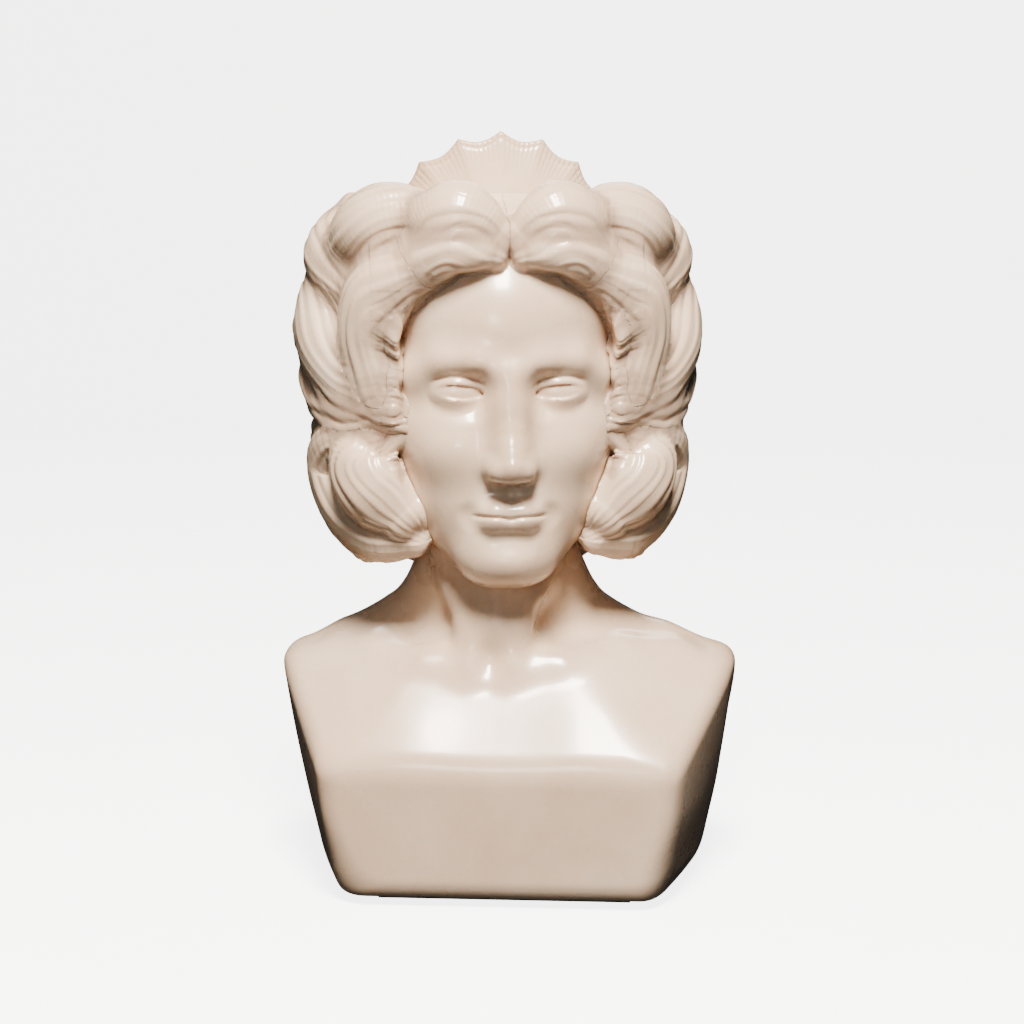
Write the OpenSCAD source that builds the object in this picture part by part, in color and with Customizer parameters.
// Marble bust with a turned head, finger-waved hair and a scalloped diadem.
// Frame: millimetres, +Z up, the chest faces -Y, the origin is the centre of the face it rests on.

/* [Block] */
// Width of the front face where the bust stands
base_front_w = 124; // [116:1:130]
// Width of the back face where the bust stands
base_back_w = 156; // [144:1:160]
// Depth of the block, front to back, where it stands
base_depth = 86; // [80:1:96]
// Height of the soft ridge across the chest
ridge_h = 56; // [50:1:62]
// Width of the chest at the ridge
ridge_w = 132; // [124:1:138]
// How far the ridge stands in front of the base
ridge_lead = 7; // [3:1:10]
// Width across the cut shoulders
shoulder_w = 176; // [168:1:180]
// Height of the shoulder corners
shoulder_h = 91; // [88:1:96]
// Radius of the block's rounded upper corners
corner_r = 5; // [3:0.5:7]

// Radius of the block's rounded foot
foot_r = 8.5; // [5:0.5:10]

/* [Neck] */
// Radius of the neck
neck_r = 30; // [28:0.5:32]
// How far the neck stands off the middle, towards -X
neck_off = 5; // [0:1:8]
// Distance of the neck's axis behind the origin
neck_y = 9; // [6:1:12]
// Height of the joint between the neck and the head
joint_z = 150; // [147:1:153]
// Thickness of the setting bed in the joint
bed_t = 1; // [0.5:0.5:2]

/* [Head] */
// Turn of the head towards +X, in degrees
head_turn = 9; // [0:1:14]
// Width of the face across the cheeks
face_w = 88; // [84:1:90]
// Height of the chin's lowest point
chin_z = 125; // [123:1:127]
// Height of the crown of the skull
crown_z = 275; // [270:1:278]

/* [Hair] */
// Half width of the combed hair under its waves
hair_a = 64; // [62:1:66]
// Half depth of the combed hair under its waves
hair_b = 62; // [60:1:65]
// Height of the combed hair over its widest level
hair_c = 71; // [69:1:73]
// How far the fullest waves stand out from the combed hair
wave_lift = 4; // [2:0.5:6]

/* [Diadem] */
// Radius to the points of the scalloped rim
diadem_r = 52; // [48:1:56]
// Angle between two points on the rim
diadem_pitch = 18.5; // [16:0.5:20]
// Depth of each scallop between two points
scallop = 3.5; // [2:0.5:5]
// Thickness of the diadem
diadem_t = 7; // [5:0.5:9]
// Radius of the curve that carries the diadem round the head
diadem_bend = 51; // [46:1:60]

/* [Fixings] */
// Radius of the steel dowel that carries the head
dowel_r = 5; // [4:0.5:6]
// Length of the steel dowel
dowel_l = 60; // [50:5:70]
// Radius of the small pin that stops the head turning
pin_r = 2; // [1.5:0.5:3]
// Length of the small pin
pin_l = 22; // [18:1:26]
// Clearance round every pin in its hole
pin_gap = 0.2; // [0.1:0.05:0.3]
// Thickness of the baize sheet under the block
baize_t = 1.5; // [1:0.5:2]
// How far the baize stays inside the foot of the block
baize_inset = 13; // [7:1:16]

/* [Hidden] */

stone = [0.91, 0.86, 0.79];
stone_hair = [0.89, 0.84, 0.78];
hair_centre = [0, 10, 205];
boxiness = 0.5;
lower_taper = 0.00006;
sides = 12;
steps = 9;
slab = 0.2;
neck_gap = 0.5;
pin_offset = 16;
diadem_z = 245.5;
diadem_y = -14;
diadem_lean = 8;
diadem_inner = 0.45;
diadem_pin_r = 1.5;
diadem_pin_angles = [-24, 0, 24];
diadem_pin_l = 16;

// ---------- the combed surface that every lock lies on ----------

// Radius share and height share of the surface at latitude v, in degrees.
function round_share(v) = v >= 0 ? pow(cos(v), boxiness) : 1 - lower_taper * v * v;
function height_share(v) = v >= 0 ? pow(sin(v), boxiness) : v * PI / 180;

// A point at longitude a (0 is the face, 90 is the +X ear), latitude v, lifted by d.
function hair_point(a, v, d) =
    let (out = v > 0 ? cos(v) : 1, up = v > 0 ? sin(v) : 0)
    hair_centre + [(hair_a * round_share(v) + d * out) * sin(a),
                   -(hair_b * round_share(v) + d * out) * cos(a),
                   hair_c * height_share(v) + d * up];

function unit(p) = p / norm(p);

// A cubic Bezier curve through longitude, latitude pairs.
function bezier(c, s) = pow(1 - s, 3) * c[0] + 3 * s * pow(1 - s, 2) * c[1]
                        + 3 * s * s * (1 - s) * c[2] + pow(s, 3) * c[3];

// How full a lock is along its length: thin at its tips, round in the middle.
function fullness(s) = 0.28 + 0.72 * pow(sin(180 * s), 0.7);

// A lock is [four control points, half width, half thickness, lift].
function lock_at(k, s) =
    let (q = bezier(k[0], s)) hair_point(q[0], q[1], k[3] * (0.35 + 0.65 * sin(180 * s)));

module station(k, s) {
    q = bezier(k[0], s);
    p = lock_at(k, s);
    along = unit(lock_at(k, min(s + 0.02, 1)) - lock_at(k, max(s - 0.02, 0)));
    lifted = unit(hair_point(q[0], q[1], 1) - hair_point(q[0], q[1], 0));
    across = unit(cross(lifted, along));
    out = cross(along, across);
    w = k[1] * fullness(s);
    t = k[2] * fullness(s);
    multmatrix([[across[0] * w, out[0] * t, along[0], p[0]],
                [across[1] * w, out[1] * t, along[1], p[1]],
                [across[2] * w, out[2] * t, along[2], p[2]],
                [0, 0, 0, 1]])
        cylinder(r = 1, h = slab, center = true, $fn = sides);
}

module lock(k) {
    for (i = [0:steps - 1])
        hull() {
            station(k, i / steps);
            station(k, (i + 1) / steps);
        }
}

module locks(list) {
    for (k = list) lock(k);
}

// ---------- the locks of one side, on the +X side of the head ----------

front_locks = [
    [[[1, 26], [12, 26], [26, 25], [42, 20]], 11, 9, 1],
    [[[1, 44], [14, 45], [32, 43], [50, 33]], 13, 11, 3],
];
temple_locks = [
    [[[36, 33], [66, 30], [76, 6], [46, 1]], 10, 9, 0],
    [[[44, 34], [84, 32], [90, 10], [56, 5]], 12, 11, 0],
    [[[54, 37], [98, 37], [106, 16], [70, 8]], 13, 12, 1],
];
ear_locks = [
    [[[58, -4], [86, -6], [84, -18], [44, -17]], 7, 9, 1],
    [[[60, 5], [96, 9], [104, -16], [64, -15]], 11, 13, wave_lift],
    [[[84, 16], [116, 18], [124, -12], [92, -18]], 13, 14, wave_lift],
];
roll_locks = [
    [[[52, -20], [76, -20], [78, -40], [46, -40]], 13, 12, 2],
    [[[68, -15], [108, -18], [104, -56], [36, -50]], 13, 13, wave_lift - 1],
    [[[92, -14], [126, -22], [122, -56], [80, -54]], 15, 13, wave_lift],
];

// A row of hair that runs round the back of the head, from side to side.
function row_lock(v, w, t, lift, reach) =
    [[[reach, v], [180 - 30, v + 4], [180 + 30, v + 4], [360 - reach, v]], w, t, lift];
back_upper_rows = [row_lock(46, 15, 12, 0, 98), row_lock(19, 12, 13, 2, 92), row_lock(5, 12, 13, 3, 104)];
back_lower_rows = [row_lock(-1, 12, 13, 4, 108), row_lock(-15, 12, 13, 4, 108)];
nape_rows = [row_lock(-30, 12, 12, 3, 108), row_lock(-44, 12, 12, 1, 110),
             row_lock(-58, 12, 12, 0, 124), row_lock(-70, 10, 11, 0, 132)];

// ---------- placing ----------

// The head and its hair turn together about the neck's axis.
module turned() {
    translate([-neck_off, neck_y, 0]) rotate([0, 0, head_turn]) translate([0, -neck_y, 0]) children();
}

// A place on the neck's axis at height z.
module on_neck(z) {
    translate([-neck_off, neck_y, z]) children();
}

module both_ways(left) {
    mirror([left ? 1 : 0, 0, 0]) children();
}

// ---------- the block ----------

module block_corner(x, y, z, r) {
    translate([x - r, y, z]) sphere(r = r, $fn = 24);
    translate([-x + r, y, z]) sphere(r = r, $fn = 24);
}

// The lower block: flat cut faces, wider at the back, and a chest that slopes up from its ridge.
module block_body() {
    foot = baize_t + foot_r;
    front = -base_depth / 2;
    back = base_depth / 2;
    hull() {
        block_corner(base_front_w / 2, front + foot_r, foot, foot_r);
        block_corner(base_back_w / 2, back - foot_r, foot, foot_r);
        block_corner(ridge_w / 2, front + corner_r - ridge_lead, ridge_h - corner_r, corner_r);
        block_corner(shoulder_w / 2, neck_y - 8, shoulder_h - corner_r, corner_r);
        block_corner(shoulder_w / 2 - 4, back - 13, shoulder_h - corner_r, corner_r);
        translate([-neck_off, 0, 0]) {
            block_corner(34, neck_y - 24, shoulder_h + 5, 9);
            block_corner(44, back - 18, shoulder_h + 5, 9);
        }
    }
}

// Each shoulder runs up into the neck in a hollow curve of three straight ridges.
// A ridge point is [distance from the middle, height, radius, depth in front of and behind the axis].
slope_points = [[shoulder_w / 2 - corner_r - 2, shoulder_h - corner_r, corner_r, 6, 18],
                [58, shoulder_h + 3, 8, 12, 16],
                [38, shoulder_h + 12, 10, 13, 13],
                [17, shoulder_h + 27, 13, 9, 9]];

module slope_station(side, i) {
    k = slope_points[i];
    x = side * k[0] - neck_off * i / 3;
    translate([x, neck_y - k[3], k[1]]) sphere(r = k[2], $fn = 16);
    translate([x, neck_y + k[4], k[1]]) sphere(r = k[2], $fn = 16);
}

module shoulder_slopes() {
    for (side = [-1, 1])
        for (i = [0:2])
            hull() {
                slope_station(side, i);
                slope_station(side, i + 1);
            }
}

module neck() {
    on_neck(shoulder_h - 20) cylinder(r = neck_r, h = joint_z - bed_t - shoulder_h + 20, $fn = 64);
}

module dowel_holes() {
    on_neck(joint_z - dowel_l / 2 - 1) cylinder(r = dowel_r + pin_gap, h = dowel_l + 2, $fn = 48);
    on_neck(joint_z - pin_l / 2 - 1)
        translate([0, pin_offset, 0]) cylinder(r = pin_r + pin_gap, h = pin_l + 2, $fn = 32);
}

module shoulder_block() {
    color(stone) difference() {
        union() {
            block_body();
            shoulder_slopes();
            neck();
        }
        dowel_holes();
    }
}

module baize_sheet() {
    front = -base_depth / 2 + baize_inset;
    back = base_depth / 2 - baize_inset;
    fw = base_front_w / 2 - baize_inset;
    bw = base_back_w / 2 - baize_inset;
    color([0.16, 0.2, 0.17])
        linear_extrude(baize_t) polygon([[-fw, front], [fw, front], [bw, back], [-bw, back]]);
}

module setting_bed() {
    color([0.8, 0.78, 0.74]) difference() {
        on_neck(joint_z - bed_t) cylinder(r = neck_r - 2, h = bed_t, $fn = 64);
        dowel_holes();
    }
}

module neck_dowel() {
    color([0.72, 0.73, 0.75]) on_neck(joint_z - dowel_l / 2) cylinder(r = dowel_r, h = dowel_l, $fn = 48);
}

module locating_pin() {
    color([0.72, 0.73, 0.75]) on_neck(joint_z - pin_l / 2)
        translate([0, pin_offset, 0]) cylinder(r = pin_r, h = pin_l, $fn = 32);
}

// ---------- the head ----------

module egg(centre, size, fn) {
    translate(centre) scale(size) sphere(r = 1, $fn = fn);
}

// Skull, cheeks, jaw and nape, with plain features: the carving is finer than this.
module head_form() {
    skull_z = crown_z - 54;
    third = (248 - chin_z) / 3;
    nose_z = chin_z + third;
    mouth_z = chin_z + third * 2 / 3;
    eye_z = (chin_z + crown_z) / 2;
    hull() {
        egg([0, 11, skull_z], [46, 59, 54], 32);
        egg([0, -8, 184], [face_w / 2, 32, 24], 32);
        egg([0, -12, 152], [35, 24, 19], 24);
        egg([0, -32, chin_z + 11], [12, 12, 11], 24);
        egg([0, 34, 174], [34, 30, 26], 24);
    }
    hull() {
        egg([0, -46, eye_z + 4], [4, 3, 4], 16);
        egg([0, -55, nose_z + 5], [4.5, 5, 4.5], 16);
        egg([0, -47, nose_z + 4], [9, 5, 4], 16);
    }
    egg([0, -43, mouth_z + 2], [13, 4, 3], 20);
    egg([0, -42.5, mouth_z - 4], [11, 4, 3.5], 20);
}

module neck_space() {
    on_neck(60) cylinder(r = neck_r + neck_gap, h = joint_z - 60, $fn = 64);
}

module head_block() {
    color(stone) difference() {
        turned() head_form();
        neck_space();
        dowel_holes();
        turned() diadem_pin_row(diadem_pin_r + pin_gap, diadem_pin_l + 2);
    }
}

// ---------- the diadem ----------

// A fan of hollow scallops: the rim dips between its points.
function rim(a) = diadem_r - scallop * abs(sin(a * 180 / diadem_pitch));

// The fan is curved round the head: its front face lies on a cylinder that stands behind it.
module fan(grow) {
    reach = 4.5 * diadem_pitch;
    n = 90;
    outer = [for (i = [-n:2:n]) let (a = reach * i / n) (rim(a) + grow) * [sin(a), cos(a)]];
    inner = [for (i = [12:-1:-12]) let (a = reach * i / 12) diadem_r * diadem_inner * [sin(a), cos(a)]];
    intersection() {
        translate([0, 30, 0]) rotate([90, 0, 0]) linear_extrude(62, center = true)
            polygon(concat(outer, inner));
        translate([0, diadem_bend, -20]) difference() {
            cylinder(r = diadem_bend + grow, h = 100, $fn = 96);
            translate([0, 0, -1]) cylinder(r = diadem_bend - diadem_t - grow, h = 102, $fn = 96);
        }
    }
}

module diadem_place() {
    translate([0, diadem_y, diadem_z]) rotate([-diadem_lean, 0, 0]) children();
}

// The pins stand upright in the thickness of the diadem.
module diadem_pin_row(r, l) {
    diadem_place() translate([0, diadem_bend, 26])
        for (a = diadem_pin_angles)
            rotate([0, 0, a])
                translate([0, -diadem_bend + diadem_t / 2, 0])
                    cylinder(r = r, h = l, center = true, $fn = 24);
}

module diadem() {
    color(stone_hair) turned() difference() {
        diadem_place() fan(0);
        head_form();
        diadem_pin_row(diadem_pin_r + pin_gap, diadem_pin_l + 2);
    }
}

module diadem_pins() {
    color([0.8, 0.66, 0.35]) turned() diadem_pin_row(diadem_pin_r, diadem_pin_l);
}

// ---------- the hair ----------

module diadem_space() {
    diadem_place() fan(0.3);
}

// The close hair on the skull, under the locks, with an opening for the face.
module cap_form() {
    difference() {
        hull()
            for (v = [-48, -25, 0, 20, 35, 50, 65, 80])
                translate(hair_centre + [0, 0, (hair_c - 3) * height_share(v)])
                    scale([(hair_a - 3) * round_share(v), (hair_b - 3) * round_share(v), 1])
                        cylinder(r = 1, h = 0.5, $fn = 40);
        hull()
            for (z = [chin_z - 10, 214])
                for (y = [-100, -16])
                    egg([0, y, z], [45, 10, 34], 24);
    }
}

// What every lock of hair leaves room for.
module hair_cut() {
    difference() {
        union() children();
        head_form();
        cap_form();
        diadem_space();
    }
}

module hair_cap() {
    color(stone_hair) difference() {
        turned() difference() {
            cap_form();
            head_form();
            diadem_space();
        }
        neck_space();
    }
}

module front_puff(left) {
    color(stone_hair) turned() both_ways(left) hair_cut() locks(front_locks);
}

module temple_wave(left) {
    color(stone_hair) turned() both_ways(left) difference() {
        hair_cut() locks(temple_locks);
        locks(front_locks);
    }
}

module ear_wave(left) {
    color(stone_hair) turned() both_ways(left) difference() {
        hair_cut() locks(ear_locks);
        locks(temple_locks);
    }
}

module side_roll(left) {
    color(stone_hair) difference() {
        turned() both_ways(left) difference() {
            hair_cut() locks(roll_locks);
            locks(ear_locks);
        }
        neck_space();
    }
}

module side_locks() {
    for (side = [0, 1])
        mirror([side, 0, 0]) children();
}

module back_wave_upper() {
    color(stone_hair) turned() difference() {
        hair_cut() locks(back_upper_rows);
        side_locks() locks(temple_locks);
    }
}

module back_wave_lower() {
    color(stone_hair) turned() difference() {
        hair_cut() locks(back_lower_rows);
        side_locks() {
            locks(temple_locks);
            locks(ear_locks);
        }
        locks(back_upper_rows);
    }
}

module nape_hair() {
    color(stone_hair) difference() {
        turned() difference() {
            hair_cut() locks(nape_rows);
            side_locks() {
                locks(ear_locks);
                locks(roll_locks);
            }
            locks(back_lower_rows);
        }
        neck_space();
        block_body();
        shoulder_slopes();
    }
}

shoulder_block();
baize_sheet();
setting_bed();
neck_dowel();
locating_pin();
head_block();
hair_cap();
diadem();
diadem_pins();
front_puff(false);  // front_puff_right
front_puff(true);  // front_puff_left
temple_wave(false);  // temple_wave_right
temple_wave(true);  // temple_wave_left
ear_wave(false);  // ear_wave_right
ear_wave(true);  // ear_wave_left
side_roll(false);  // side_roll_right
side_roll(true);  // side_roll_left
back_wave_upper();
back_wave_lower();
nape_hair();
